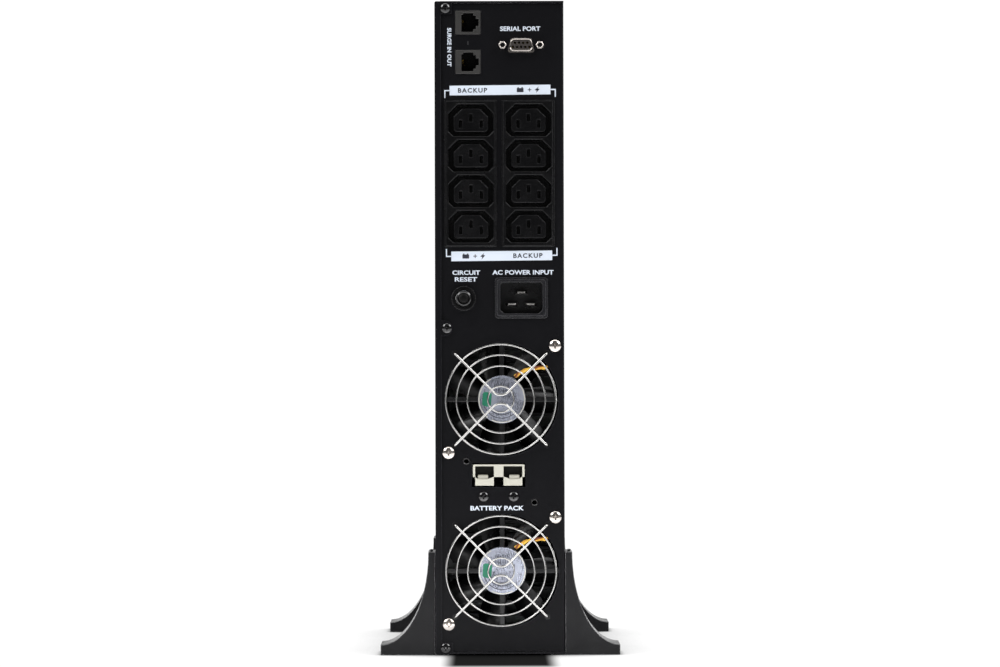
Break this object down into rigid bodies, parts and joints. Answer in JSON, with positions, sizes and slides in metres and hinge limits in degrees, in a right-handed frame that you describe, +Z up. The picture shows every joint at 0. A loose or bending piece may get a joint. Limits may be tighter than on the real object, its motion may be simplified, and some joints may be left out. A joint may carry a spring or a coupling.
{
  "type": "rackmount ups",
  "caption": "Rackmount uninterruptible power supply standing as a tower on clip-on feet, with socket outlets, mains inlet, breaker, data ports and caged fans on its rear panel.",
  "frame": {"origin": "on the floor, under the middle of the overall box", "axes": "+Z up as the unit stands as a tower, -Y out of the connector panel, +Y out of the display and battery door, +X towards the rack-bottom plate"},
  "size_m": [0.1606, 0.4458, 0.438],
  "materials": {
    "black_steel": "fine-textured black powder coat",
    "zinc_steel": "zinc-plated sheet",
    "nickel": "bright nickel plate",
    "guard_wire": "bright plated wire",
    "pin_metal": "plated contact blade",
    "screw_black": "black oxide",
    "outlet_plastic": "moulded black, fine texture",
    "grey_plastic": "moulded dark grey",
    "foot_plastic": "moulded dark grey, sand texture",
    "ivory_plastic": "moulded ivory",
    "fan_plastic": "glossy black",
    "bezel_plastic": "moulded black, fine texture",
    "battery_plastic": "moulded dark grey",
    "lcd_glass": "clear window over a dark display",
    "button_plastic": "moulded grey",
    "board": "green solder mask",
    "winding": "enamelled copper",
    "core_steel": "varnished laminations",
    "capacitor_sleeve": "shrunk sleeve",
    "cable_sheath": "soft insulation",
    "aluminium": "as extruded"
  },
  "bodies": {
    "chassis": {"chassis_base": "black_steel", "top_cover": "black_steel", "front_frame": "zinc_steel", "bay_divider": "zinc_steel", "outlet_block_left": "outlet_plastic", "outlet_block_right": "outlet_plastic", "inlet_housing": "outlet_plastic", "inlet_pin_earth": "pin_metal", "inlet_pin_line": "pin_metal", "inlet_pin_neutral": "pin_metal", "line_jack_upper": "grey_plastic", "line_jack_lower": "grey_plastic", "serial_shell": "nickel", "serial_insert": "outlet_plastic", "serial_jackscrew_left": "nickel", "serial_jackscrew_right": "nickel", "battery_connector": "ivory_plastic", "battery_contact_left": "pin_metal", "battery_contact_right": "pin_metal", "breaker_body": "outlet_plastic", "breaker_nut": "outlet_plastic", "cover_screw_top": "screw_black", "cover_screw_middle": "screw_black", "cover_screw_bottom": "screw_black", "connector_screw_left": "screw_black", "connector_screw_right": "screw_black", "fan_frame_upper": "fan_plastic", "fan_guard_upper": "guard_wire", "fan_cable_upper": "cable_sheath", "fan_screw_upper_left": "nickel", "fan_screw_upper_right": "nickel", "fan_frame_lower": "fan_plastic", "fan_guard_lower": "guard_wire", "fan_cable_lower": "cable_sheath", "fan_screw_lower_left": "nickel", "fan_screw_lower_right": "nickel", "main_board": "board", "power_transformer": "core_steel", "boost_choke": "winding", "bus_capacitor": "capacitor_sleeve", "heatsink": "aluminium", "front_bezel": "bezel_plastic"},
    "fan_rotor_upper": {"fan_rotor_upper": "fan_plastic"},
    "fan_rotor_lower": {"fan_rotor_lower": "fan_plastic"},
    "breaker_button": {"breaker_button": "outlet_plastic"},
    "battery_drawer": {"battery_tray": "zinc_steel", "battery_1": "battery_plastic", "battery_2": "battery_plastic", "battery_3": "battery_plastic", "battery_4": "battery_plastic"},
    "battery_door": {"battery_door": "bezel_plastic"},
    "display": {"display_dial": "bezel_plastic", "display_window": "lcd_glass"},
    "button_power": {"button_power": "button_plastic"},
    "button_select": {"button_select": "button_plastic"},
    "button_enter": {"button_enter": "button_plastic"},
    "foot_rear_left": {"foot_rear_left": "foot_plastic"},
    "foot_rear_right": {"foot_rear_right": "foot_plastic"},
    "foot_front_left": {"foot_front_left": "foot_plastic"},
    "foot_front_right": {"foot_front_right": "foot_plastic"}
  },
  "joints": [
    {"name": "fan_spin_upper", "type": "hinge", "parent": "chassis", "child": "fan_rotor_upper", "pos_m": [0.0013, -0.2, 0.1712], "axis": [0, 1, 0], "continuous": true},
    {"name": "fan_spin_lower", "type": "hinge", "parent": "chassis", "child": "fan_rotor_lower", "pos_m": [0.0013, -0.2, 0.0564], "axis": [0, 1, 0], "continuous": true},
    {"name": "breaker_trip", "type": "slide", "parent": "chassis", "child": "breaker_button", "axis": [0, -1, 0], "range_m": [0, 0.004]},
    {"name": "battery_drawer_slide", "type": "slide", "parent": "chassis", "child": "battery_drawer", "axis": [0, 1, 0], "range_m": [0, 0.3]},
    {"name": "battery_door_release", "type": "slide", "parent": "battery_drawer", "child": "battery_door", "axis": [0, 1, 0], "range_m": [0, 0.04]},
    {"name": "display_turn", "type": "hinge", "parent": "chassis", "child": "display", "pos_m": [0, 0.2149, 0.328], "axis": [0, 1, 0], "range_deg": [-90, 0]},
    {"name": "press_power", "type": "slide", "parent": "display", "child": "button_power", "axis": [0, -1, 0], "range_m": [0, 0.0012]},
    {"name": "press_select", "type": "slide", "parent": "display", "child": "button_select", "axis": [0, -1, 0], "range_m": [0, 0.0012]},
    {"name": "press_enter", "type": "slide", "parent": "display", "child": "button_enter", "axis": [0, -1, 0], "range_m": [0, 0.0012]},
    {"name": "foot_rear_left_release", "type": "slide", "parent": "chassis", "child": "foot_rear_left", "axis": [-1, 0, 0], "range_m": [0, 0.03]},
    {"name": "foot_rear_right_release", "type": "slide", "parent": "chassis", "child": "foot_rear_right", "axis": [1, 0, 0], "range_m": [0, 0.03]},
    {"name": "foot_front_left_release", "type": "slide", "parent": "chassis", "child": "foot_front_left", "axis": [-1, 0, 0], "range_m": [0, 0.03]},
    {"name": "foot_front_right_release", "type": "slide", "parent": "chassis", "child": "foot_front_right", "axis": [1, 0, 0], "range_m": [0, 0.03]}
  ]
}
